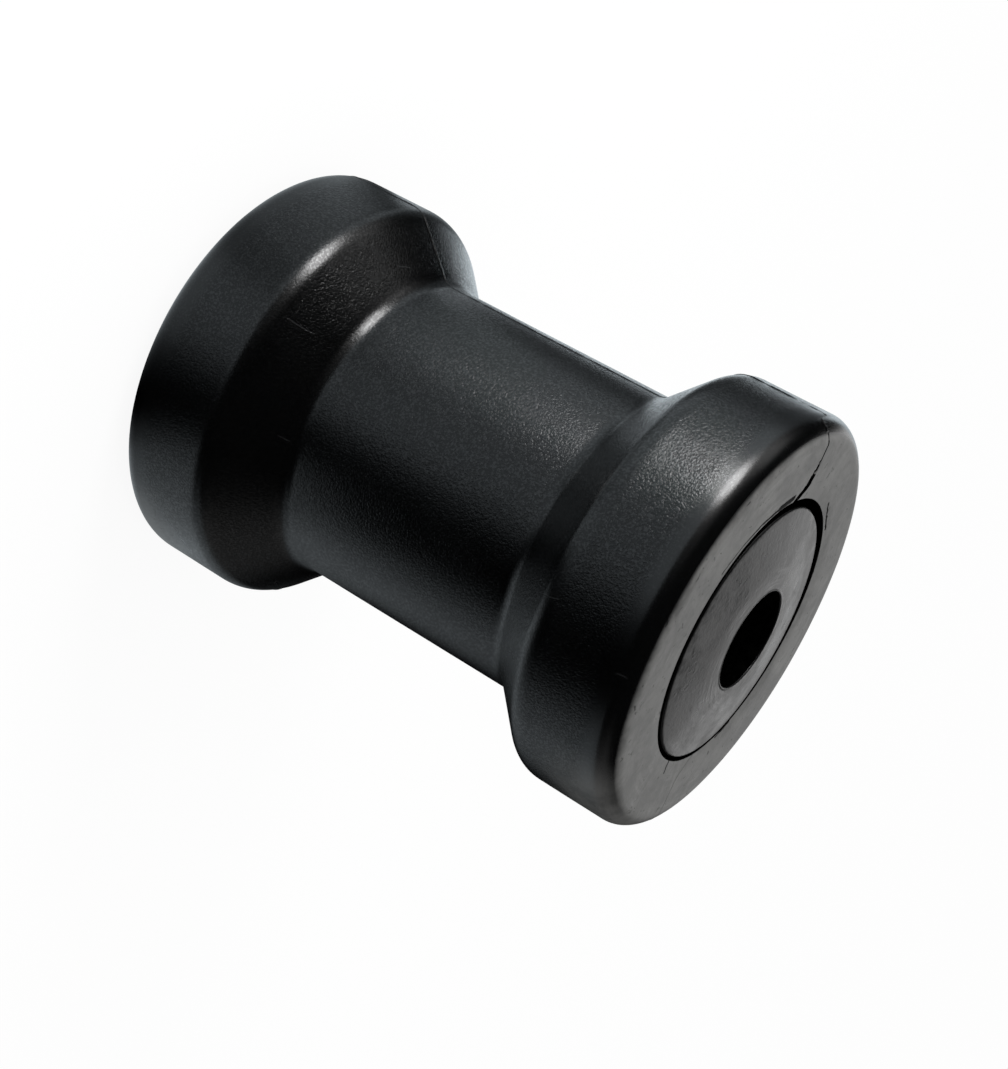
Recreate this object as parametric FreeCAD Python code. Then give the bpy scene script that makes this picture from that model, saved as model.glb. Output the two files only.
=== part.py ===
import FreeCAD, Part
import math
import os

# Boat trailer roller, standing on one end, in millimetres.
# Its axis is Z, the origin is the middle of its length, and the end that shows is the top.
# Two pieces: a moulded sleeve that carries the hull, and a thick core that the sleeve turns on.

# Sleeve, outside
sleeve_length = 122.0
waist_diameter = 66.0
flange_height = 11.5       # step from the waist up to the rim of a flange
rim_width = 21.9           # straight rim of a flange, out to the end face
taper_run = 11.9           # length along the axis of the slope between waist and rim
waist_round = 5.0          # hollow corner where the slope meets the waist
shoulder_round = 6.0       # corner between the slope and the rim
end_round = 4.6            # corner between the rim and the end face

# Sleeve, inside
waist_wall = 4.7           # wall between the waist and the hole
mouth_bevel = 0.4          # broken edge of the hole in the end face
bead_height = 3.0          # bead round the middle of the hole, which keeps the core in
bead_width = 8.0           # flat crest of the bead
bead_slope = 2.0           # length along the axis of each side of the bead

# Core
core_clearance = 1.3       # all round, when the core is centred in the hole
rest_gap = 0.5             # left on the low side, where the core has sunk towards the hole's wall
rest_angle = 35.0          # direction of that side, from X towards Y
bead_play = 0.6            # along the axis, each side of the bead
spindle_diameter = 20.0
spindle_clearance = 0.5    # all round
bore_bevel = 0.5
thrust_width = 3.5         # flat ring round the bore that bears on the bracket
thrust_height = 1.8        # how far that ring stands out past the sleeve's end face
core_bevel = 0.5           # outer edge of the core's coned end

# Marks of the two-part mould, in the plane through the axis at this angle
parting_angle = 17.0
ridge_width = 0.5
ridge_height = 0.2
ridge_foot = 1.5           # how deep the ridge's own solid reaches into the wall
joint_inset = 2.5          # from the rim to the outer end of the joint in the top face
joint_bend = 5.0           # stretch beside the hole in which the joint swings round
joint_swing = 9.5          # degrees that it has swung round at the hole
crack_tip = 0.3            # width at the outer end, where the joint gapes: the side away from X
crack_mouth = 1.1          # width at the hole
crack_depth = 2.0
hairline_width = 0.25      # where the joint is closed: the side towards X
hairline_depth = 0.5

waist_radius = waist_diameter / 2
rim_radius = waist_radius + flange_height
hole_radius = waist_radius - waist_wall
crest_radius = hole_radius - bead_height
core_radius = hole_radius - core_clearance
groove_radius = crest_radius - core_clearance
core_offset = core_clearance - rest_gap
bore_radius = spindle_diameter / 2 + spindle_clearance
thrust_radius = bore_radius + thrust_width
end_z = sleeve_length / 2
rim_z = end_z - rim_width
waist_z = rim_z - taper_run
thrust_z = end_z + thrust_height
crest_z = bead_width / 2
bead_z = crest_z + bead_slope
slope_angle = math.atan2(flange_height, taper_run)

axis_origin = FreeCAD.Vector(0, 0, 0)
axis_direction = FreeCAD.Vector(0, 0, 1)


def polar(radius, angle, height=0.0):
    turn = math.radians(angle)
    return FreeCAD.Vector(radius * math.cos(turn), radius * math.sin(turn), height)


def mirrored(corners):
    return [(radius, -height, rounding) for radius, height, rounding in reversed(corners)]


def roundedOutline(corners):
    # each corner is (distance from the axis, height, rounding), in order round the section
    points = [FreeCAD.Vector(radius, 0, height) for radius, height, rounding in corners]
    count = len(points)
    legs = [points[(i + 1) % count] - points[i] for i in range(count)]
    # half the angle inside each corner, and the length that its rounding takes from both legs
    halves = [(-legs[i - 1]).getAngle(legs[i]) / 2 for i in range(count)]
    tangents = [corners[i][2] / math.tan(halves[i]) for i in range(count)]
    # a rounding is limited by the legs beside it
    shares = [1.0 for i in range(count)]
    for i in range(count):
        wanted = tangents[i] + tangents[(i + 1) % count]
        if wanted > 0.98 * legs[i].Length:
            shares[i] = 0.98 * legs[i].Length / wanted
    arrivals = []
    departures = []
    edges = []
    for i in range(count):
        tangent = tangents[i] * min(shares[i - 1], shares[i])
        back = (-legs[i - 1]).normalize()
        ahead = FreeCAD.Vector(legs[i]).normalize()
        arrivals.append(points[i] + back * tangent)
        departures.append(points[i] + ahead * tangent)
        if tangent > 0:
            radius = tangent * math.tan(halves[i])
            middle = points[i] + (back + ahead).normalize() * (radius / math.sin(halves[i]) - radius)
            edges.append(Part.Arc(arrivals[i], middle, departures[i]).toShape())
    for i in range(count):
        edges.append(Part.LineSegment(departures[i], arrivals[(i + 1) % count]).toShape())
    return Part.Face(Part.Wire(Part.__sortEdges__(edges)))


def outerCorners(grow):
    # the sleeve's outside from the top face to the bottom face, standing out by grow all over
    slip = grow * math.tan(slope_angle / 2)
    upper = [(rim_radius + grow, end_z + grow, end_round + grow),
             (rim_radius + grow, rim_z - slip, shoulder_round + grow),
             (waist_radius + grow, waist_z - slip, waist_round - grow)]
    return upper + mirrored(upper)


def sleeveBlank():
    mouth = [(hole_radius, end_z - mouth_bevel, 0),
             (hole_radius + mouth_bevel, end_z, 0)]
    bead = [(crest_radius, crest_z, 0),
            (hole_radius, bead_z, 0)]
    outline = mouth + outerCorners(0.0) + mirrored(mouth) + mirrored(bead) + bead
    return roundedOutline(outline).revolve(axis_origin, axis_direction, 360)


def partingRidge():
    # a low ridge along the whole outside and over the corners of both ends
    edge = rim_radius - end_round - ridge_foot
    rim = rim_radius - ridge_foot
    waist = waist_radius - ridge_foot
    face = [(edge, end_z + ridge_height, 0)]
    foot = [(waist, waist_z, 0),
            (rim, rim_z, 0),
            (rim, end_z - end_round, 0),
            (edge, end_z - end_round, 0)]
    outline = face + outerCorners(ridge_height) + mirrored(face) + mirrored(foot) + foot
    ridge = roundedOutline(outline).extrude(FreeCAD.Vector(0, ridge_width, 0))
    ridge.translate(FreeCAD.Vector(0, -ridge_width / 2, 0))
    ridge.rotate(axis_origin, axis_direction, parting_angle)
    return ridge


def tangentArc(start, direction, finish):
    # leaves start along direction and ends at finish
    chord = finish - start
    lean = direction.getAngle(chord)
    outwards = (direction - chord * (direction.dot(chord) / chord.dot(chord))).normalize()
    rise = chord.Length / 2 * math.tan(lean / 2)
    return Part.Arc(start, start + chord / 2 + outwards * rise, finish).toShape()


def endJoint(side, tip, mouth, depth):
    # the joint in the top face: straight along the parting plane, then swinging round to the hole
    inwards = polar(1, side + 180)
    across = polar(0.5, side + 90)
    outer_end = polar(rim_radius - joint_inset, side, end_z)
    knee = polar(hole_radius + joint_bend, side, end_z)
    hole_end = polar(hole_radius - mouth_bevel, side + joint_swing, end_z)
    knee_width = (tip + mouth) / 2
    outline = [Part.LineSegment(outer_end + across * tip, knee + across * knee_width).toShape(),
               tangentArc(knee + across * knee_width, inwards, hole_end + across * mouth),
               Part.LineSegment(hole_end + across * mouth, hole_end - across * mouth).toShape(),
               tangentArc(knee - across * knee_width, inwards, hole_end - across * mouth),
               Part.LineSegment(knee - across * knee_width, outer_end - across * tip).toShape(),
               Part.LineSegment(outer_end - across * tip, outer_end + across * tip).toShape()]
    blade = Part.Face(Part.Wire(outline)).extrude(FreeCAD.Vector(0, 0, depth + ridge_height))
    blade.translate(FreeCAD.Vector(0, 0, -depth))
    return blade


def rollerBody():
    ridge = partingRidge()
    opposite = ridge.copy()
    opposite.rotate(axis_origin, axis_direction, 180)
    crack = endJoint(parting_angle + 180, crack_tip, crack_mouth, crack_depth)
    hairline = endJoint(parting_angle, hairline_width, hairline_width, hairline_depth)
    return sleeveBlank().fuse([ridge, opposite]).cut([crack, hairline]).removeSplitter()


def core():
    upper = [(bore_radius, thrust_z - bore_bevel, 0),
             (bore_radius + bore_bevel, thrust_z, 0),
             (thrust_radius, thrust_z, 0),
             (core_radius - core_bevel, end_z, 0),
             (core_radius, end_z - core_bevel, 0),
             (core_radius, bead_z + bead_play, 0),
             (groove_radius, crest_z + bead_play, 0)]
    bush = roundedOutline(upper + mirrored(upper)).revolve(axis_origin, axis_direction, 360)
    bush.translate(polar(core_offset, rest_angle))
    return bush


os.makedirs("parts", exist_ok=True)
for name, shape in {"roller_body": rollerBody(), "core": core()}.items():
    shape.exportStep("parts/" + name + ".step")
    print(name, "solids", len(shape.Solids), "valid", shape.isValid(), "cm3", round(shape.Volume / 1000, 2))
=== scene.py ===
import math

import bpy
import numpy as np
from mathutils import Matrix, Vector, noise


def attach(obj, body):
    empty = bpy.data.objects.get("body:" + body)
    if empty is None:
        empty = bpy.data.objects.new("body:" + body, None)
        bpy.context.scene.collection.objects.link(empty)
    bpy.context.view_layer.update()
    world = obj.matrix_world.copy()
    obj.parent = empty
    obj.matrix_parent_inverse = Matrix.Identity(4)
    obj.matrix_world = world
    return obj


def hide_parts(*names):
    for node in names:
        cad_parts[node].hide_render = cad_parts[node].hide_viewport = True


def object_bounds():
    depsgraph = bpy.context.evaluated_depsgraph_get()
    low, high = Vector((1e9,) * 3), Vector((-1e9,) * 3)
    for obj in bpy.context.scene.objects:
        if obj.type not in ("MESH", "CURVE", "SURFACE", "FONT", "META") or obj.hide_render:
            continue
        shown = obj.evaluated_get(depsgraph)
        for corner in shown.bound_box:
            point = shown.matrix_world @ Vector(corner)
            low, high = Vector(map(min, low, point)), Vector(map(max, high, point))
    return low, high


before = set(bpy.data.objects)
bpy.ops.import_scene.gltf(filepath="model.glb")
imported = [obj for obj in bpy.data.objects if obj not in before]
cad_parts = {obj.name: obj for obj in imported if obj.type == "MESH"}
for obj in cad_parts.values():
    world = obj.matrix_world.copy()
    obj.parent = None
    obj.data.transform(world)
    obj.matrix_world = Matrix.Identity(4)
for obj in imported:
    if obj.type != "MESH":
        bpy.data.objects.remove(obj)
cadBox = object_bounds()
print("stage: frame loaded")

# Boat trailer roller in metres, standing on one end. A turned sleeve with flanged ends, and the core inside it.

mm = 0.001


# Turned shapes

def pathThrough(corners, step):
    # corners are (radius, height, rounding) in mm; gives (radius, height) points, with the roundings as arcs
    points = [np.array(c[:2], float) for c in corners]
    path = []
    for i, corner in enumerate(points):
        rounding = corners[i][2]
        if rounding == 0 or i in (0, len(points) - 1):
            path.append([corner])
            continue
        back = points[i - 1] - corner
        ahead = points[i + 1] - corner
        back /= np.linalg.norm(back)
        ahead /= np.linalg.norm(ahead)
        half = math.acos(np.clip(back @ ahead, -1, 1)) / 2
        tangent = rounding / math.tan(half)
        centre = corner + (back + ahead) / np.linalg.norm(back + ahead) * rounding / math.sin(half)
        start = corner + back * tangent - centre
        turn = math.pi - 2 * half
        side = np.sign(start[0] * (corner + ahead * tangent - centre)[1]
                       - start[1] * (corner + ahead * tangent - centre)[0])
        count = max(3, int(rounding * turn / min(step, rounding * 0.2)) + 1)
        arc = []
        for share in np.linspace(0, 1, count):
            a = side * turn * share
            arc.append(centre + np.array([start[0] * math.cos(a) - start[1] * math.sin(a),
                                          start[0] * math.sin(a) + start[1] * math.cos(a)]))
        path.append(arc)
    # straight stretches between the arcs
    out = []
    for i, stretch in enumerate(path):
        out.extend(stretch)
        if i + 1 < len(path):
            gap = path[i + 1][0] - stretch[-1]
            parts = max(1, round(np.linalg.norm(gap) / (step * 2.2)))
            out.extend(stretch[-1] + gap * k / parts for k in range(1, parts))
    return np.array(out)


def turnedGrid(path, angles):
    # radius, height and angle of each vertex, one row for each point of the path
    radius = np.repeat(path[:, :1], len(angles), axis=1)
    height = np.repeat(path[:, 1:], len(angles), axis=1)
    angle = np.repeat(angles[None, :], len(path), axis=0)
    return radius, height, angle


def meshFromGrid(name, radius, height, angle, centre=(0, 0), closed=True):
    rows, columns = radius.shape
    x = (radius * np.cos(angle) + centre[0]) * mm
    y = (radius * np.sin(angle) + centre[1]) * mm
    z = height * mm
    spots = np.stack([x, y, z], -1).reshape(-1, 3)
    rowCount = rows if closed else rows - 1
    i = np.arange(rowCount)[:, None] * columns + np.arange(columns)[None, :]
    right = np.arange(rowCount)[:, None] * columns + (np.arange(columns)[None, :] + 1) % columns
    below = (i + columns) % (rows * columns)
    belowRight = (right + columns) % (rows * columns)
    faces = np.stack([i, below, belowRight, right], -1).reshape(-1, 4)
    mesh = bpy.data.meshes.new(name)
    mesh.from_pydata(spots.tolist(), [], faces.tolist())
    mesh.update()
    mesh.shade_smooth()
    piece = bpy.data.objects.new(name, mesh)
    bpy.context.scene.collection.objects.link(piece)
    return piece


def paintRecessShade(piece, shadedWhole, shadedCrack):
    # a face with all its corners in a recess, or any corner down in a crack, takes the piece's second material, the
    # painted shade of recesses
    slots = np.zeros(len(piece.data.polygons), int)
    inside = shadedWhole.ravel()
    deep = shadedCrack.ravel()
    for face in piece.data.polygons:
        slots[face.index] = (all(inside[corner] for corner in face.vertices)
                             or any(deep[corner] for corner in face.vertices))
    piece.data.polygons.foreach_set("material_index", slots)


def smoothStep(low, high, value):
    t = np.clip((value - low) / (high - low), 0, 1)
    return t * t * (3 - 2 * t)


def unevenness(spots, size, seed):
    # gentle noise between about -1 and 1, for points in mm
    shift = Vector((seed * 7.3, seed * 3.1, seed * 5.7))
    return np.array([noise.noise(Vector(p) / size + shift) for p in spots])


# Sleeve

sleeve = dict(
    length=122.0, waistRadius=33.0, rimRadius=44.5, holeRadius=28.3,
    rimWidth=21.9, taperRun=11.9,
    waistRound=5.0, shoulderRound=6.0, endRound=4.6, mouthRound=0.4,
    beadHeight=3.0, beadWidth=8.0, beadSlope=2.0,
    step=0.45,               # spacing along the section
    waviness=0.05,           # soft unevenness of the moulding
    sink=0.28, sinkReach=3.2,
)

parting = dict(
    angle=17.0,              # degrees, of the mould's parting plane
    ridgeWidth=0.5, ridgeHeight=0.17,
    jointInset=2.0,
    # how far the joint has swung round, in degrees, at each radius: the gaping side and the closed side
    gapingSwing=[(28.3, 9.8), (29.6, 7.6), (31.2, 5.2), (33.9, 3.6), (36.6, 2.8), (39.9, 2.6), (42.6, 4.6)],
    closedSwing=[(28.3, 9.5), (30.0, 4.3), (31.6, 1.2), (33.3, 0.0)],
    crackTip=0.45, crackMouth=2.2, crackDepth=2.0,
    hairlineWidth=0.25, hairlineDepth=0.12,
    nicks=[(52.5, 2.2), (44.5, 1.2), (56.5, 0.9), (-18.0, 1.0), (33.5, 1.2)],   # height and length of gaps in the ridge
)


def sleevePath():
    end = sleeve["length"] / 2
    rimZ = end - sleeve["rimWidth"]
    waistZ = rimZ - sleeve["taperRun"]
    crest = sleeve["holeRadius"] - sleeve["beadHeight"]
    beadTop = sleeve["beadWidth"] / 2
    upper = [(sleeve["holeRadius"], end, sleeve["mouthRound"]),
             (sleeve["rimRadius"], end, sleeve["endRound"]),
             (sleeve["rimRadius"], rimZ, sleeve["shoulderRound"]),
             (sleeve["waistRadius"], waistZ, sleeve["waistRound"])]
    lower = [(r, -z, rounding) for r, z, rounding in reversed(upper)]
    inside = [(sleeve["holeRadius"], -beadTop - sleeve["beadSlope"], 0.6),
              (crest, -beadTop, 0.6),
              (crest, beadTop, 0.6),
              (sleeve["holeRadius"], beadTop + sleeve["beadSlope"], 0.6)]
    start = (sleeve["holeRadius"], beadTop + sleeve["beadSlope"] + 6.0, 0)
    outline = [start] + upper + lower + inside + [start]
    return pathThrough(outline, sleeve["step"])[:-1]


def sleeveAngles():
    # columns crowd together at the two parting lines
    offsets = [0.0]
    gap = 0.2
    while offsets[-1] < 90:
        offsets.append(offsets[-1] + gap)
        if offsets[-1] > 2.4:
            gap = min(gap * 1.28, 1.35)
    half = np.array(offsets) * 90 / offsets[-1]
    quarter = np.concatenate([-half[:0:-1], half[:-1]])
    whole = np.concatenate([quarter, quarter + 180]) + parting["angle"]
    return np.radians(whole)


def jointSwing(radius, farSide):
    # how far the joint in the end face has swung round at each radius, in degrees
    gaping = np.interp(radius, *np.array(parting["gapingSwing"]).T)
    closed = np.interp(radius, *np.array(parting["closedSwing"]).T)
    return np.where(farSide, gaping, closed)


def makeSleeve():
    path = sleevePath()
    radius, height, angle = turnedGrid(path, sleeveAngles())
    end = sleeve["length"] / 2
    hole = sleeve["holeRadius"]
    rim = sleeve["rimRadius"]
    # signed angle from the nearer parting line, and which side that is
    degrees = np.degrees(angle) - parting["angle"]
    offLine = (degrees + 90) % 180 - 90
    farSide = np.cos(np.radians(degrees)) < 0
    onFace = (height > end - 1.0) & (radius < rim - 1.0)

    # on the top face the columns swing round with the joint
    swing = jointSwing(radius, farSide) * (1 - smoothStep(8, 70, np.abs(offLine)))
    angle = angle + np.radians(np.where(onFace | (height > end - 3), swing, 0))

    # the moulding's own unevenness
    spots = np.stack([radius * np.cos(angle), radius * np.sin(angle), height], -1).reshape(-1, 3)
    wave = unevenness(spots, 26.0, 1).reshape(radius.shape)
    fine = unevenness(spots, 7.0, 2).reshape(radius.shape)
    outside = smoothStep(hole + 0.6, hole + 3.0, radius)
    push = (wave * 0.8 + fine * 0.2) * sleeve["waviness"] * outside

    # the parting ridge, with gaps where the flash has torn away
    slope = np.gradient(path, axis=0)
    slope /= np.linalg.norm(slope, axis=1)[:, None]
    outwardR = slope[:, 1:2] * -1
    outwardZ = slope[:, 0:1]
    across = np.radians(offLine) * radius
    ragged = 0.75 + 0.5 * unevenness(np.stack([height, height * 0, np.where(farSide, 9.0, 0.0)], -1).reshape(-1, 3),
                                     2.4, 5).reshape(radius.shape)
    for nickHeight, nickLength in parting["nicks"]:
        torn = np.exp(-((height - nickHeight) / (nickLength / 2)) ** 4)
        ragged = ragged * (1 - np.where(farSide, torn * 1.9, 0))
    ridge = parting["ridgeHeight"] * ragged * np.exp(-(across / (parting["ridgeWidth"] * 0.42)) ** 4)
    ridge = ridge * np.where(farSide | (height < end - 8), 1.0, 0.35)
    overFace = (np.abs(height) > end - 1.0) & (radius < rim - sleeve["endRound"] - 1.0)
    push = push + np.where(overFace | (radius < hole + 1.2), 0, ridge)
    radius = radius + outwardR * push
    height = height + outwardZ * push

    # the top face has sunk a little towards the hole
    sunk = sleeve["sink"] * (1 - smoothStep(hole + 0.4, hole + sleeve["sinkReach"], radius))
    height = height - np.where(height > end - 3.0, sunk, 0)

    # the joint in the top face: gaping on the far side, closed on the near side
    start = rim - parting["jointInset"]
    share = np.clip((start - path[:, :1]) / (start - hole), 0, 1)
    gape = parting["crackTip"] + (parting["crackMouth"] - parting["crackTip"]) * smoothStep(0.35, 0.85, share)
    gape = gape * (1 + 0.15 * np.sin(radius * 4.1) * smoothStep(0.2, 0.6, share))
    width = np.where(farSide, gape, parting["hairlineWidth"])
    depth = np.where(farSide, parting["crackDepth"], parting["hairlineDepth"])
    depth = depth * smoothStep(0.0, 0.12, share)
    groove = np.clip(1 - (np.abs(across) / (width / 2)) ** 6, 0, 1)
    topSide = (height > end - 1.4) & (path[:, :1] < start)
    height = height - np.where(topSide, depth * groove, 0)

    piece = meshFromGrid("sleeve", radius, height, angle)
    # the hole's wall and the open crack take the painted shade of recesses
    holeShade = (radius < hole + 0.25) & (np.abs(height) < end - 0.2)
    crackShade = topSide & farSide & (depth * groove > 0.5) & (radius < hole + 12.5)
    paintRecessShade(piece, holeShade, crackShade)
    return piece


# Core

core = dict(
    radius=27.1, boreRadius=10.5, thrustWidth=3.5, thrustHeight=1.8,
    rimDrop=0.32, edgeRound=0.75, coneRound=40.0, boreRound=0.3, step=0.5,
    grooveRadius=24.0, grooveHalf=4.6, grooveFoot=6.6,
    offset=0.8, offsetAngle=35.0,
    # the top rim isn't quite round: (degrees, spread, how far it stands out)
    rimShape=[(46.0, 22.0, 0.25), (-162.0, 16.0, 0.35), (-52.0, 28.0, -0.6), (128.0, 32.0, -0.4)],
)


def makeCore():
    end = sleeve["length"] / 2
    top = end + core["thrustHeight"]
    thrust = core["boreRadius"] + core["thrustWidth"]
    upper = [(core["boreRadius"], top, core["boreRound"]),
             (thrust, top, core["coneRound"]),
             (core["radius"], end - core["rimDrop"], core["edgeRound"]),
             (core["radius"], core["grooveFoot"], 0.6),
             (core["grooveRadius"], core["grooveHalf"], 0.6)]
    lower = [(r, -z, rounding) for r, z, rounding in reversed(upper)]
    start = (core["boreRadius"], 30.0, 0)
    path = pathThrough([start] + upper + lower + [start], core["step"])[:-1]
    angles = np.radians(np.arange(0, 360, 1.5))
    radius, height, angle = turnedGrid(path, angles)
    spots = np.stack([radius * np.cos(angle), radius * np.sin(angle), height], -1).reshape(-1, 3)
    wave = unevenness(spots, 14.0, 3).reshape(radius.shape)
    onEnd = (np.abs(height) > end - 0.3) & (radius > thrust + 1.0)
    height = height + np.where(onEnd, -np.abs(wave) * 0.06 * np.sign(height), 0)

    # the top rim is pressed out towards the hole's wall on its low side, and a little worn elsewhere
    atRim = smoothStep(end - 3.0, end - 0.4, height) * smoothStep(core["radius"] - 4.0, core["radius"] - 0.5, radius)
    for middle, spread, reach in core["rimShape"]:
        aside = (np.degrees(angle) - middle + 180) % 360 - 180
        radius = radius + reach * np.exp(-(aside / spread) ** 2) * atRim

    turn = math.radians(core["offsetAngle"])
    centre = (core["offset"] * math.cos(turn), core["offset"] * math.sin(turn))
    piece = meshFromGrid("bush", radius, height, angle, centre)
    # the bore and the core's wall under the rim take the painted shade of recesses
    boreShade = (radius < core["boreRadius"] + 0.15) & (np.abs(height) < top - 0.25)
    wallShade = (radius > core["grooveRadius"] - 0.5) & (np.abs(height) < end - core["rimDrop"] - 0.3)
    paintRecessShade(piece, boreShade | wallShade, np.zeros_like(boreShade))
    return piece


# Small helpers for shader nodes

def addNode(tree, kind, values=None, feeds=None, **settings):
    # values are fixed inputs, and feeds are the outputs that run into the node
    made = tree.nodes.new("ShaderNode" + kind)
    for name, value in settings.items():
        setattr(made, name, value)
    for name, value in (values or {}).items():
        made.inputs[name].default_value = value
    for name, source in (feeds or {}).items():
        tree.links.new(source, made.inputs[name])
    return made


def maths(tree, operation, *parts, kind="Math"):
    made = addNode(tree, kind, operation=operation)
    for socket, part in zip(made.inputs, parts):
        if isinstance(part, bpy.types.NodeSocket):
            tree.links.new(part, socket)
        else:
            socket.default_value = part
    return made.outputs[0]


def ranged(tree, value, low, high, start=0.0, finish=1.0, blend="SMOOTHSTEP"):
    # carries value from low..high to start..finish
    made = addNode(tree, "MapRange", {"From Min": low, "From Max": high, "To Min": start, "To Max": finish},
                   {"Value": value}, interpolation_type=blend)
    return made.outputs["Result"]


def blended(tree, mask, first, second):
    # first colour where the mask is 0, second where it is 1
    made = addNode(tree, "Mix", data_type="RGBA")
    for socket, part in ((made.inputs[0], mask), (made.inputs[6], first), (made.inputs[7], second)):
        if isinstance(part, bpy.types.NodeSocket):
            tree.links.new(part, socket)
        else:
            socket.default_value = part
    return made.outputs[2]


def noiseAt(tree, spot, scale, detail=2.0, rough=0.5, twist=0.0):
    made = addNode(tree, "TexNoise", {"Scale": scale, "Detail": detail, "Roughness": rough, "Distortion": twist},
                   {"Vector": spot})
    return made.outputs["Fac"]


def newGroup(name, inputs, outputs):
    tree = bpy.data.node_groups.new(name, "ShaderNodeTree")
    for label, kind, value in inputs:
        socket = tree.interface.new_socket(label, in_out="INPUT", socket_type="NodeSocket" + kind)
        if kind != "Vector":
            socket.default_value = value
    for label, kind in outputs:
        tree.interface.new_socket(label, in_out="OUTPUT", socket_type="NodeSocket" + kind)
    return tree, tree.nodes.new("NodeGroupInput").outputs, tree.nodes.new("NodeGroupOutput").inputs


def useGroup(tree, group, spot, **values):
    made = addNode(tree, "Group", node_tree=group)
    tree.links.new(spot, made.inputs["Spot"])
    for name, value in values.items():
        made.inputs[name].default_value = value
    return made.outputs


def newMaterial(name):
    material = bpy.data.materials.new(name)
    material.use_nodes = True
    tree = material.node_tree
    tree.nodes.clear()
    return material, tree


# Effects that both materials use

def makeMouldGrain():
    # soft raised specks and short strokes that the spark-worn mould leaves all over
    tree, given, gives = newGroup("mouldGrain", [("Spot", "Vector", 0), ("Strokes", "Float", 1400.0)],
                                  [("Height", "Float"), ("Crest", "Float")])
    strokes = noiseAt(tree, given["Spot"], 1.0, 0.6, 0.5, 0.6)
    tree.links.new(given["Strokes"], strokes.node.inputs["Scale"])
    specks = noiseAt(tree, given["Spot"], 1.0, 0.0, 0.5)
    tree.links.new(maths(tree, "MULTIPLY", given["Strokes"], 2.3), specks.node.inputs["Scale"])
    height = maths(tree, "ADD", maths(tree, "MULTIPLY", strokes, 0.75), maths(tree, "MULTIPLY", specks, 0.25))
    tree.links.new(height, gives["Height"])
    tree.links.new(ranged(tree, height, 0.45, 0.65), gives["Crest"])
    return tree


mouldGrain = makeMouldGrain()


def makeChalkBloom():
    # the pale film that dries on the cut ends: soft clouds, and a few bare dark specks
    tree, given, gives = newGroup("chalkBloom", [("Spot", "Vector", 0), ("Patches", "Float", 110.0)],
                                  [("Film", "Float"), ("Specks", "Float")])
    clouds = noiseAt(tree, given["Spot"], 1.0, 3.0, 0.55, 0.5)
    tree.links.new(given["Patches"], clouds.node.inputs["Scale"])
    mottle = noiseAt(tree, given["Spot"], 1.0, 4.0, 0.65)
    tree.links.new(maths(tree, "MULTIPLY", given["Patches"], 6.0), mottle.node.inputs["Scale"])
    film = maths(tree, "ADD", maths(tree, "MULTIPLY", clouds, 0.65), maths(tree, "MULTIPLY", mottle, 0.35))
    tree.links.new(ranged(tree, film, 0.36, 0.64), gives["Film"])
    specks = noiseAt(tree, given["Spot"], 1.0, 1.0, 0.5, 0.8)
    tree.links.new(maths(tree, "MULTIPLY", given["Patches"], 7.0), specks.node.inputs["Scale"])
    tree.links.new(ranged(tree, specks, 0.7, 0.76), gives["Specks"])
    return tree


chalkBloom = makeChalkBloom()


def makeTurningMarks():
    # fine arcs left by a cutter, about the spot's own origin, which show only here and there
    tree, given, gives = newGroup("turningMarks", [("Spot", "Vector", 0), ("Lines", "Float", 1500.0)],
                                  [("Arcs", "Float")])
    flat = maths(tree, "MULTIPLY", given["Spot"], (1, 1, 0), kind="VectorMath")
    reach = addNode(tree, "VectorMath", feeds={0: flat}, operation="LENGTH").outputs["Value"]
    heading = addNode(tree, "SeparateXYZ", feeds={0: maths(tree, "NORMALIZE", flat, kind="VectorMath")}).outputs
    unrolled = addNode(tree, "CombineXYZ", feeds={0: maths(tree, "MULTIPLY", reach, given["Lines"]),
                                                  1: maths(tree, "MULTIPLY", heading[0], 2.5),
                                                  2: maths(tree, "MULTIPLY", heading[1], 2.5)}).outputs[0]
    lines = ranged(tree, noiseAt(tree, unrolled, 1.0, 2.0, 0.6), 0.4, 0.65)
    showing = ranged(tree, noiseAt(tree, given["Spot"], 90.0, 1.0), 0.45, 0.62)
    tree.links.new(maths(tree, "MULTIPLY", lines, showing), gives["Arcs"])
    return tree


turningMarks = makeTurningMarks()


def makeScuffs():
    # short thin scratches from handling
    tree, given, gives = newGroup("scuffs", [("Spot", "Vector", 0), ("Spacing", "Float", 160.0)],
                                  [("Scratches", "Float")])
    bends = noiseAt(tree, given["Spot"], 1.0, 0.0)
    tree.links.new(given["Spacing"], bends.node.inputs["Scale"])
    lines = ranged(tree, maths(tree, "ABSOLUTE", maths(tree, "SUBTRACT", bends, 0.5)), 0.001, 0.006, 1.0, 0.0)
    breaks = noiseAt(tree, given["Spot"], 1.0, 0.0)
    tree.links.new(maths(tree, "MULTIPLY", given["Spacing"], 3.5), breaks.node.inputs["Scale"])
    tree.links.new(maths(tree, "MULTIPLY", lines, ranged(tree, breaks, 0.7, 0.78)), gives["Scratches"])
    return tree


scuffs = makeScuffs()


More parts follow.
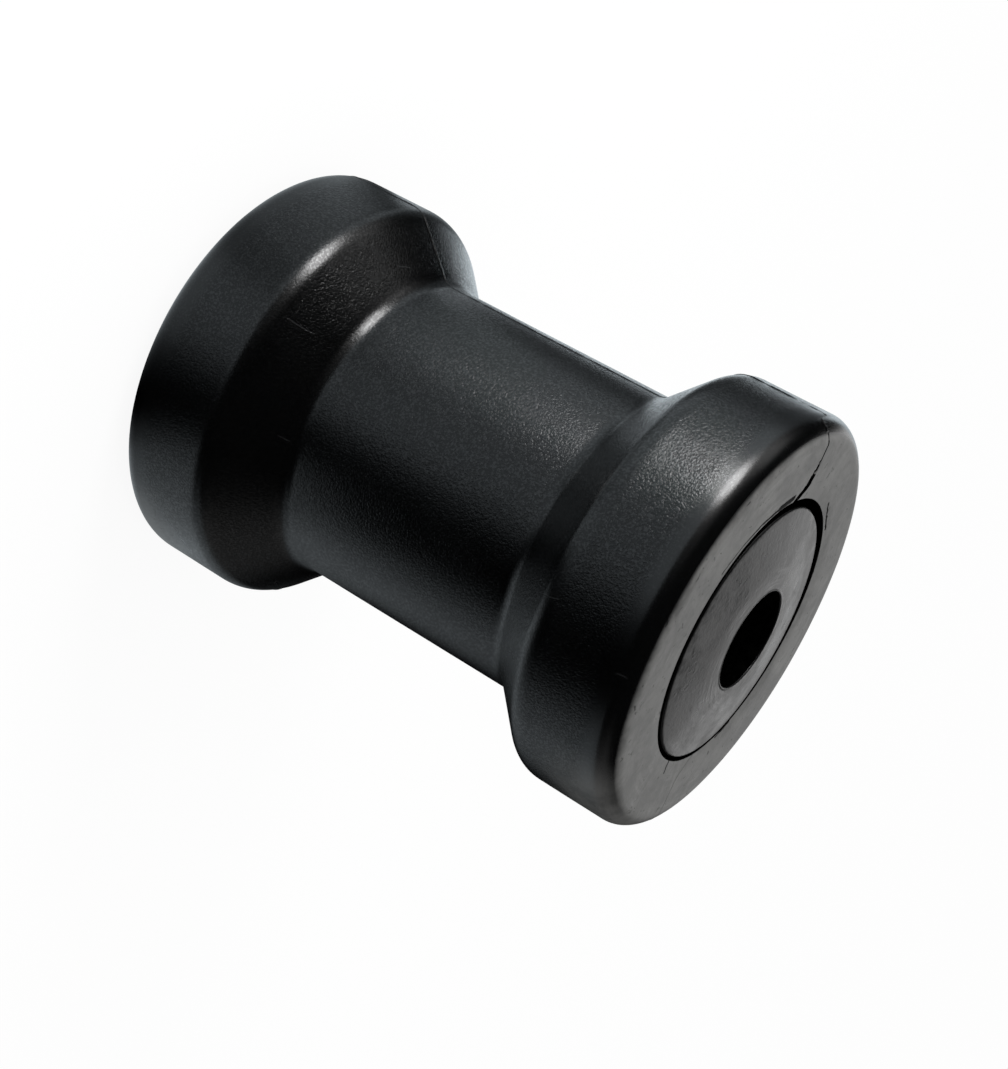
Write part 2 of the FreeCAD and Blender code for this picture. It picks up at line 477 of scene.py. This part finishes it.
def makeThinMark():
    # one narrow line between two points on an end face
    tree, given, gives = newGroup("thinMark", [("Spot", "Vector", 0), ("Start", "Vector", 0), ("Finish", "Vector", 0),
                                               ("Width", "Float", 0.0003)], [("Mark", "Float")])
    run = maths(tree, "SUBTRACT", given["Finish"], given["Start"], kind="VectorMath")
    along = maths(tree, "SUBTRACT", given["Spot"], given["Start"], kind="VectorMath")
    reached = maths(tree, "DOT_PRODUCT", along, run, kind="VectorMath").node.outputs["Value"]
    whole = maths(tree, "DOT_PRODUCT", run, run, kind="VectorMath").node.outputs["Value"]
    share = ranged(tree, maths(tree, "DIVIDE", reached, whole), 0.0, 1.0, blend="LINEAR")
    nearest = addNode(tree, "VectorMath", feeds={"Vector": run, "Scale": share}, operation="SCALE").outputs[0]
    away = maths(tree, "DISTANCE", along, nearest, kind="VectorMath").node.outputs["Value"]
    thin = maths(tree, "DIVIDE", away, given["Width"])
    tree.links.new(ranged(tree, thin, 0.3, 0.6, 1.0, 0.0), gives["Mark"])
    return tree


thinMark = makeThinMark()


# Walls inside the bore, the hole and the crack, painted as shade: near black, rough and without reflection

recessShadeFinish = dict(dark=(0.0004, 0.0004, 0.0004, 1), pale=(0.0016, 0.0016, 0.0015, 1), gloss=0.8, strokes=900.0)


def makeRecessShade():
    material, tree = newMaterial("recessShade")
    spot = addNode(tree, "TexCoord").outputs["Object"]
    grain = useGroup(tree, mouldGrain, spot, Strokes=recessShadeFinish["strokes"])
    colour = blended(tree, grain["Crest"], recessShadeFinish["dark"], recessShadeFinish["pale"])
    rough = maths(tree, "MULTIPLY_ADD", grain["Crest"], 0.15, recessShadeFinish["gloss"])
    bump = addNode(tree, "Bump", {"Strength": 1.0, "Distance": 0.00006}, {"Height": grain["Height"]})
    # no reflection and a near-black colour: painted shade in the recesses
    shader = addNode(tree, "BsdfPrincipled", {"IOR": 1.5, "Specular IOR Level": 0.0},
                     {"Base Color": colour, "Roughness": rough, "Normal": bump.outputs["Normal"]})
    addNode(tree, "OutputMaterial", feeds={"Surface": shader.outputs["BSDF"]})
    return material


recessShade = makeRecessShade()


# Sleeve's rubber

sleeveFinish = dict(
    dark=(0.0004, 0.0005, 0.0006, 1), pale=(0.0014, 0.0016, 0.0018, 1),
    # pale end colours: a real film, made paler still as painted sheen
    bareEndAndSheen=(0.11, 0.11, 0.107, 1), filmedEndAndSheen=(0.235, 0.234, 0.227, 1),
    scratch=(0.01, 0.0105, 0.011, 1),
    gloss=0.25, endGloss=0.46,
    strokes=2300.0,          # grain strokes per metre
    grainDepth=0.00011,      # in metres
    # the side painted paler over the corner, as painted sheen
    sheenSide=(0.985, 0.174, 0),
    polished=[(39.1, 1.0, 3.4), (27.2, 0.8, 3.0)],   # height of a smoother rounding, and where the grain comes back
    # dark lines where the flash beside the hole was trimmed: (radius, degrees) of both ends, and width in mm
    trims=[((29.0, -142), (29.2, -128), 0.8), ((29.2, -128), (29.6, -115), 0.6), ((29.6, -115), (30.3, -102), 0.5),
           ((29.2, 151), (29.5, 160), 0.5), ((29.5, 160), (30.4, 168), 0.4), ((28.4, 1), (31.3, 1.5), 0.5),
           ((29.4, -150), (29.0, -140), 1.6), ((29.3, 44), (29.0, 54), 0.5)],
)


def aroundAxis(radius, degrees):
    turn = math.radians(degrees)
    return (radius * mm * math.cos(turn), radius * mm * math.sin(turn), 0)


def makeSleeveRubber():
    material, tree = newMaterial("sleeveRubber")
    spot = addNode(tree, "TexCoord").outputs["Object"]
    axes = addNode(tree, "SeparateXYZ", feeds={0: spot}).outputs
    flat = maths(tree, "MULTIPLY", spot, (1, 1, 0), kind="VectorMath")
    rise = maths(tree, "ABSOLUTE", axes[2])
    end = sleeve["length"] / 2 * mm

    # the two end faces have the film, with pale colours that are partly painted sheen, and on one side that pale colour
    # is painted over the corner as well, as painted sheen
    face = ranged(tree, rise, end - 0.75 * mm, end - 0.1 * mm)
    sideSheen = sleeveFinish["sheenSide"]
    side = maths(tree, "DOT_PRODUCT", flat, sideSheen, kind="VectorMath").node.outputs["Value"]
    sideSheen = maths(tree, "MULTIPLY", ranged(tree, rise, end - 21 * mm, end - 1.5 * mm, 0.0, 0.75),
                   ranged(tree, side, 26 * mm, 42 * mm))
    face = maths(tree, "MAXIMUM", face, sideSheen)

    grain = useGroup(tree, mouldGrain, spot, Strokes=sleeveFinish["strokes"])
    film = useGroup(tree, chalkBloom, spot, Patches=100.0)
    marks = useGroup(tree, scuffs, spot, Spacing=45.0)
    smears = useGroup(tree, turningMarks, spot, Lines=900.0)
    ragged = addNode(tree, "TexNoise", {"Scale": 900.0, "Detail": 1.0}, {"Vector": spot}).outputs["Color"]
    ragged = maths(tree, "MULTIPLY_ADD", ragged, (0.0005, 0.0005, 0), flat, kind="VectorMath")
    trimmed = ranged(tree, axes[2], end - 0.6 * mm, end - 0.3 * mm)
    cuts = None
    for start, finish, width in sleeveFinish["trims"]:
        mark = useGroup(tree, thinMark, ragged, Start=aroundAxis(*start), Finish=aroundAxis(*finish), Width=width * mm)
        cuts = mark["Mark"] if cuts is None else maths(tree, "MAXIMUM", cuts, mark["Mark"])
    cuts = maths(tree, "MULTIPLY", cuts, trimmed)

    cloud = ranged(tree, noiseAt(tree, spot, 60.0, 3.0), 0.3, 0.7)
    shade = maths(tree, "MULTIPLY", maths(tree, "ADD", maths(tree, "MULTIPLY", cloud, 0.4), grain["Crest"]), 0.7)
    side = blended(tree, shade, sleeveFinish["dark"], sleeveFinish["pale"])
    side = blended(tree, marks["Scratches"], side, sleeveFinish["scratch"])
    filmed = maths(tree, "ADD", maths(tree, "MULTIPLY", film["Film"], 0.8), maths(tree, "MULTIPLY", smears["Arcs"], 0.3))
    # end colours, partly painted sheen
    endsWithSheen = blended(tree, filmed, sleeveFinish["bareEndAndSheen"], sleeveFinish["filmedEndAndSheen"])
    endsWithSheen = blended(tree, maths(tree, "MULTIPLY", film["Specks"], 0.7), endsWithSheen, sleeveFinish["pale"])
    endsWithSheen = blended(tree, cuts, endsWithSheen, sleeveFinish["dark"])
    colour = blended(tree, face, side, endsWithSheen)

    uneven = maths(tree, "MULTIPLY_ADD", cloud, 0.05, sleeveFinish["gloss"] - 0.025)
    uneven = maths(tree, "ADD", uneven, maths(tree, "MULTIPLY", marks["Scratches"], 0.05))
    endRough = maths(tree, "MULTIPLY_ADD", film["Film"], 0.08, sleeveFinish["endGloss"] - 0.04)
    endRough = maths(tree, "ADD", endRough, maths(tree, "MULTIPLY", cuts, 0.45))
    rough = addNode(tree, "Mix", feeds={0: face, 2: uneven, 3: endRough}).outputs[0]
    # the crests of the grain are polished, which shows only where they mirror something
    crest = maths(tree, "MAXIMUM", grain["Crest"], ranged(tree, rise, end - 8.5 * mm, end - 5.0 * mm, 0.0, 0.6))
    polish = maths(tree, "MULTIPLY", crest, ranged(tree, face, 0.0, 1.0, 0.55, 0.0))

    # the roundings are smoother than the rest, and the cut ends have their own soft unevenness
    relief = grain["Height"]
    for middle, inner, outer in sleeveFinish["polished"]:
        away = maths(tree, "ABSOLUTE", maths(tree, "SUBTRACT", rise, middle * mm))
        relief = maths(tree, "MULTIPLY", relief, ranged(tree, away, inner * mm, outer * mm, 0.3, 1.0))
    relief = maths(tree, "MULTIPLY", relief, ranged(tree, rise, end - 8.5 * mm, end - 5.0 * mm, 1.0, 0.15))
    relief = maths(tree, "ADD", relief, maths(tree, "MULTIPLY", maths(tree, "MULTIPLY", film["Film"], face), 0.25))
    relief = maths(tree, "SUBTRACT", relief, maths(tree, "MULTIPLY", marks["Scratches"], 0.12))
    relief = maths(tree, "SUBTRACT", relief, maths(tree, "MULTIPLY", cuts, 1.5))
    bump = addNode(tree, "Bump", {"Strength": 1.0, "Distance": sleeveFinish["grainDepth"]}, {"Height": relief})
    shader = addNode(tree, "BsdfPrincipled", {"IOR": 1.5, "Specular IOR Level": 0.42, "Coat Roughness": 0.24},
                     {"Base Color": colour, "Roughness": rough, "Coat Weight": polish,
                      "Normal": bump.outputs["Normal"]})
    addNode(tree, "OutputMaterial", feeds={"Surface": shader.outputs["BSDF"]})
    return material


# Core's plastic

coreFinish = dict(
    dark=(0.0008, 0.0008, 0.0009, 1),
    # pale end colours: a real film, made paler still as painted sheen
    bareEndAndSheen=(0.03, 0.03, 0.03, 1), filmedEndAndSheen=(0.13, 0.129, 0.128, 1),
    endGloss=0.37,
    strokes=1300.0,
    grainDepth=0.00006,
    cutterAt=(0.002, 0.001, 0),      # centre of the cutter's arcs, beside the bore's
    cutterReach=17.5,                # in mm
)


def makeCorePlastic():
    material, tree = newMaterial("corePlastic")
    spot = addNode(tree, "TexCoord").outputs["Object"]
    turn = math.radians(core["offsetAngle"])
    middle = (core["offset"] * mm * math.cos(turn), core["offset"] * mm * math.sin(turn), 0)
    own = maths(tree, "SUBTRACT", spot, middle, kind="VectorMath")
    axes = addNode(tree, "SeparateXYZ", feeds={0: own}).outputs
    flat = maths(tree, "MULTIPLY", own, (1, 1, 0), kind="VectorMath")
    reach = addNode(tree, "VectorMath", feeds={0: flat}, operation="LENGTH").outputs["Value"]
    rise = maths(tree, "ABSOLUTE", axes[2])
    end = sleeve["length"] / 2 * mm

    # zone: the two coned ends, without the wall of the bore
    bore = core["boreRadius"] * mm
    rim = end - core["rimDrop"] * mm
    face = maths(tree, "MULTIPLY", ranged(tree, rise, rim - 0.12 * mm, rim + 0.06 * mm),
                 ranged(tree, reach, bore + 0.1 * mm, bore + 0.3 * mm))

    grain = useGroup(tree, mouldGrain, own, Strokes=coreFinish["strokes"])
    film = useGroup(tree, chalkBloom, own, Patches=125.0)
    aside = maths(tree, "SUBTRACT", own, coreFinish["cutterAt"], kind="VectorMath")
    arcs = useGroup(tree, turningMarks, aside, Lines=1500.0)["Arcs"]
    arcs = maths(tree, "MULTIPLY", arcs, ranged(tree, reach, (coreFinish["cutterReach"] - 3) * mm,
                                                coreFinish["cutterReach"] * mm, 1.0, 0.15))
    filmed = maths(tree, "ADD", maths(tree, "MULTIPLY", film["Film"], 0.75), maths(tree, "MULTIPLY", arcs, 0.45))
    # end colours, partly painted sheen
    endsWithSheen = blended(tree, filmed, coreFinish["bareEndAndSheen"], coreFinish["filmedEndAndSheen"])
    endsWithSheen = blended(tree, maths(tree, "MULTIPLY", film["Specks"], 0.5), endsWithSheen, coreFinish["dark"])
    colour = blended(tree, face, coreFinish["dark"], endsWithSheen)
    rough = maths(tree, "MULTIPLY_ADD", film["Film"], 0.2, coreFinish["endGloss"] - 0.1)
    relief = maths(tree, "ADD", grain["Height"], maths(tree, "MULTIPLY", arcs, 0.5))
    bump = addNode(tree, "Bump", {"Strength": 1.0, "Distance": coreFinish["grainDepth"]}, {"Height": relief})
    shader = addNode(tree, "BsdfPrincipled", {"IOR": 1.5},
                     {"Base Color": colour, "Roughness": rough, "Normal": bump.outputs["Normal"]})
    addNode(tree, "OutputMaterial", feeds={"Surface": shader.outputs["BSDF"]})
    return material


# Camera, floor and lights

view = dict(
    elevation=23.68,         # degrees above the roller's end plane
    roll=119.98,
    distance=406.72 * mm,
    aimRight=2.444 * mm, aimUp=-9.226 * mm,
    lens=67.29,
)


def placeCamera():
    lift = math.radians(view["elevation"])
    forward = Vector((0, math.cos(lift), -math.sin(lift)))
    levelRight = Vector((1, 0, 0))
    levelUp = levelRight.cross(forward)
    roll = math.radians(view["roll"])
    right = levelRight * math.cos(roll) + levelUp * math.sin(roll)
    up = right.cross(forward)
    spot = right * view["aimRight"] + up * view["aimUp"] - forward * view["distance"]
    data = bpy.data.cameras.new("camera")
    data.lens = view["lens"]
    data.sensor_width = 36
    data.clip_start = 0.01
    camera = bpy.data.objects.new("camera", data)
    turn = Matrix((right, up, -forward)).transposed().to_4x4()
    camera.matrix_world = Matrix.Translation(spot) @ turn
    bpy.context.scene.collection.objects.link(camera)
    bpy.context.scene.camera = camera


lamps = [
    dict(name="keyPanel", azimuth=-146.5, distance=0.42, height=0.036, wide=0.17, tall=0.28, power=1.6),
    dict(name="leftPanel", azimuth=178, distance=0.9, height=0.45, wide=0.35, tall=0.6, power=0.22),
]


def addLamp(name, azimuth, distance, height, wide, tall, power):
    data = bpy.data.lights.new(name, "AREA")
    data.shape = "ELLIPSE"
    data.size = wide
    data.size_y = tall
    data.energy = power
    lamp = bpy.data.objects.new(name, data)
    turn = math.radians(azimuth)
    spot = Vector((math.cos(turn) * distance, math.sin(turn) * distance, height))
    facing = Vector((spot.x, spot.y, 0.5 * height)).to_track_quat("Z", "Y").to_matrix().to_4x4()
    lamp.matrix_world = Matrix.Translation(spot) @ facing
    lamp.visible_camera = False
    bpy.context.scene.collection.objects.link(lamp)
    return lamp


def levelRound(tree, axes, stops):
    # a brightness by direction round the roller, from stops of (degrees from X, brightness)
    top = max(level for angle, level in stops)
    direction = maths(tree, "ARCTAN2", axes[1], axes[0])
    turn = ranged(tree, direction, -math.pi, math.pi, blend="LINEAR")
    curveNode = addNode(tree, "FloatCurve", feeds={"Value": turn})
    curve = curveNode.mapping.curves[0]
    points = [((angle + 180) / 360, level / top) for angle, level in stops]
    curve.points[0].location = points[0]
    curve.points[-1].location = points[-1]
    for point in points[1:-1]:
        curve.points.new(*point)
    for point in curve.points:
        point.handle_type = "AUTO_CLAMPED"
    curveNode.mapping.update()
    return maths(tree, "MULTIPLY", curveNode.outputs[0], top)


floorLook = dict(
    paper=0.12,              # share of the paper's white that comes from the lamps, and so takes the shadow
    glow=0.91,
    plain=0.55,
    tint=(0.9, 1.0, 1.06, 1),
    # painted reflection: how brightly the paper glows in the rubber's gloss, set by direction rather than lit, near the
    # roller and further out
    nearReflectionGlow=[(-180, 0.12), (-172, 0.25), (-158, 0.45), (-144, 0.47), (-130, 0.45), (-118, 0.3), (-103, 0.6),
               (-86, 0.45), (-62, 0.0), (-50, 0.12), (-36, 0.45), (-20, 0.5), (4, 0.5), (15, 0.35), (30, 0.2),
               (45, 0.12), (70, 0.03), (92, 0.75), (108, 1.4), (122, 1.3), (133, 0.8), (146, 0.35), (160, 0.7),
               (168, 0.3), (176, 0.08), (180, 0.12)],
    farReflectionGlow=[(-180, 0.75), (-165, 0.75), (-150, 0.95), (-130, 0.72), (-118, 0.65), (-90, 0.62), (-68, 0.06),
              (-50, 0.0), (-32, 0.0), (-12, 0.25), (15, 0.42), (30, 0.24), (41, 0.14), (54, 0.0), (74, 0.0),
              (90, 0.55), (104, 0.8), (116, 0.95), (123, 1.3), (129, 0.85), (138, 0.13), (158, 0.1), (170, 0.5),
              (180, 0.75)],
)


def makeFloor():
    bpy.ops.mesh.primitive_circle_add(vertices=128, radius=8, fill_type="NGON")
    floor = bpy.context.active_object
    floor.name = "floor"
    floor.data.transform(Matrix.Translation((0, 0, cadBox[0][2])))
    material, tree = newMaterial("floorPaper")
    place = addNode(tree, "NewGeometry").outputs["Position"]
    axes = addNode(tree, "SeparateXYZ", feeds={0: place}).outputs
    flat = maths(tree, "MULTIPLY", place, (1, 1, 0), kind="VectorMath")
    distance = addNode(tree, "VectorMath", feeds={0: flat}, operation="LENGTH").outputs["Value"]
    nearGlow = levelRound(tree, axes, floorLook["nearReflectionGlow"])
    farGlow = levelRound(tree, axes, floorLook["farReflectionGlow"])
    level = ranged(tree, distance, 0.08, 0.13)
    tree.links.new(nearGlow, level.node.inputs["To Min"])
    tree.links.new(farGlow, level.node.inputs["To Max"])
    # painted reflection: the paper's glow seen only by glossy rays, brighter or darker by direction
    gloss = addNode(tree, "Emission", {"Color": floorLook["tint"]}, {"Strength": level})
    paper = addNode(tree, "BsdfDiffuse", {"Color": (floorLook["paper"],) * 3 + (1,)})
    glow = addNode(tree, "Emission", {"Strength": floorLook["glow"]})
    seen = addNode(tree, "AddShader", feeds={0: paper.outputs[0], 1: glow.outputs[0]})
    plain = addNode(tree, "BsdfDiffuse", {"Color": (floorLook["plain"],) * 3 + (1,)})
    path = addNode(tree, "LightPath").outputs
    bounced = addNode(tree, "MixShader", feeds={0: path["Is Glossy Ray"], 1: plain.outputs[0], 2: gloss.outputs[0]})
    final = addNode(tree, "MixShader", feeds={0: path["Is Camera Ray"], 1: bounced.outputs[0], 2: seen.outputs[0]})
    addNode(tree, "OutputMaterial", feeds={"Surface": final.outputs[0]})
    floor.data.materials.append(material)


worldLook = dict(
    plain=0.62,              # even light from all round
    # how bright the room looks in the rubber's gloss, by direction
    gloss=[(-180, 0.48), (-165, 0.56), (-150, 0.28), (-130, 0.16), (-110, 0.08), (-90, 0.02), (-70, 0.0),
           (-20, 0.0), (0, 0.08), (18, 0.2), (32, 0.16), (48, 0.08), (56, 0.0), (73, 0.0), (79, 0.8), (90, 0.9),
           (100, 0.9), (108, 1.05), (116, 0.75),(122, 0.04), (140, 0.0), (160, 0.04), (172, 0.32), (180, 0.48)],
    overhead=0.01,
)


def makeWorld():
    world = bpy.data.worlds.new("studio")
    world.use_nodes = True
    tree = world.node_tree
    tree.nodes.clear()
    way = addNode(tree, "TexCoord").outputs["Generated"]
    axes = addNode(tree, "SeparateXYZ", feeds={0: way}).outputs
    sides = levelRound(tree, axes, worldLook["gloss"])
    low = ranged(tree, axes[2], 0.42, 0.66, 1.0, worldLook["overhead"])
    gloss = maths(tree, "MULTIPLY", sides, low)
    path = addNode(tree, "LightPath").outputs
    bounced = ranged(tree, path["Is Glossy Ray"], 0, 1, worldLook["plain"], 1.0, "LINEAR")
    tree.links.new(gloss, bounced.node.inputs["To Max"])
    strength = ranged(tree, path["Is Camera Ray"], 0, 1, 1.0, 1.0, "LINEAR")
    tree.links.new(bounced, strength.node.inputs["To Min"])
    light = addNode(tree, "Background", {"Color": (1, 1, 1, 1)}, {"Strength": strength})
    addNode(tree, "OutputWorld", feeds={"Surface": light.outputs[0]})
    bpy.context.scene.world = world


sleevePiece = makeSleeve()
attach(sleevePiece, "sleeve")
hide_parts("roller_body")
sleevePiece.data.materials.append(makeSleeveRubber())
sleevePiece.data.materials.append(recessShade)
print("stage: sleeve made,", len(sleevePiece.data.polygons), "faces")

corePiece = makeCore()
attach(corePiece, "core")
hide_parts("core")
corePiece.data.materials.append(makeCorePlastic())
corePiece.data.materials.append(recessShade)
print("stage: core made,", len(corePiece.data.polygons), "faces")

placeCamera()
makeFloor()
makeWorld()
for lamp in lamps:
    addLamp(**lamp)
bpy.context.scene.view_settings.view_transform = "Standard"
print("stage: studio made")
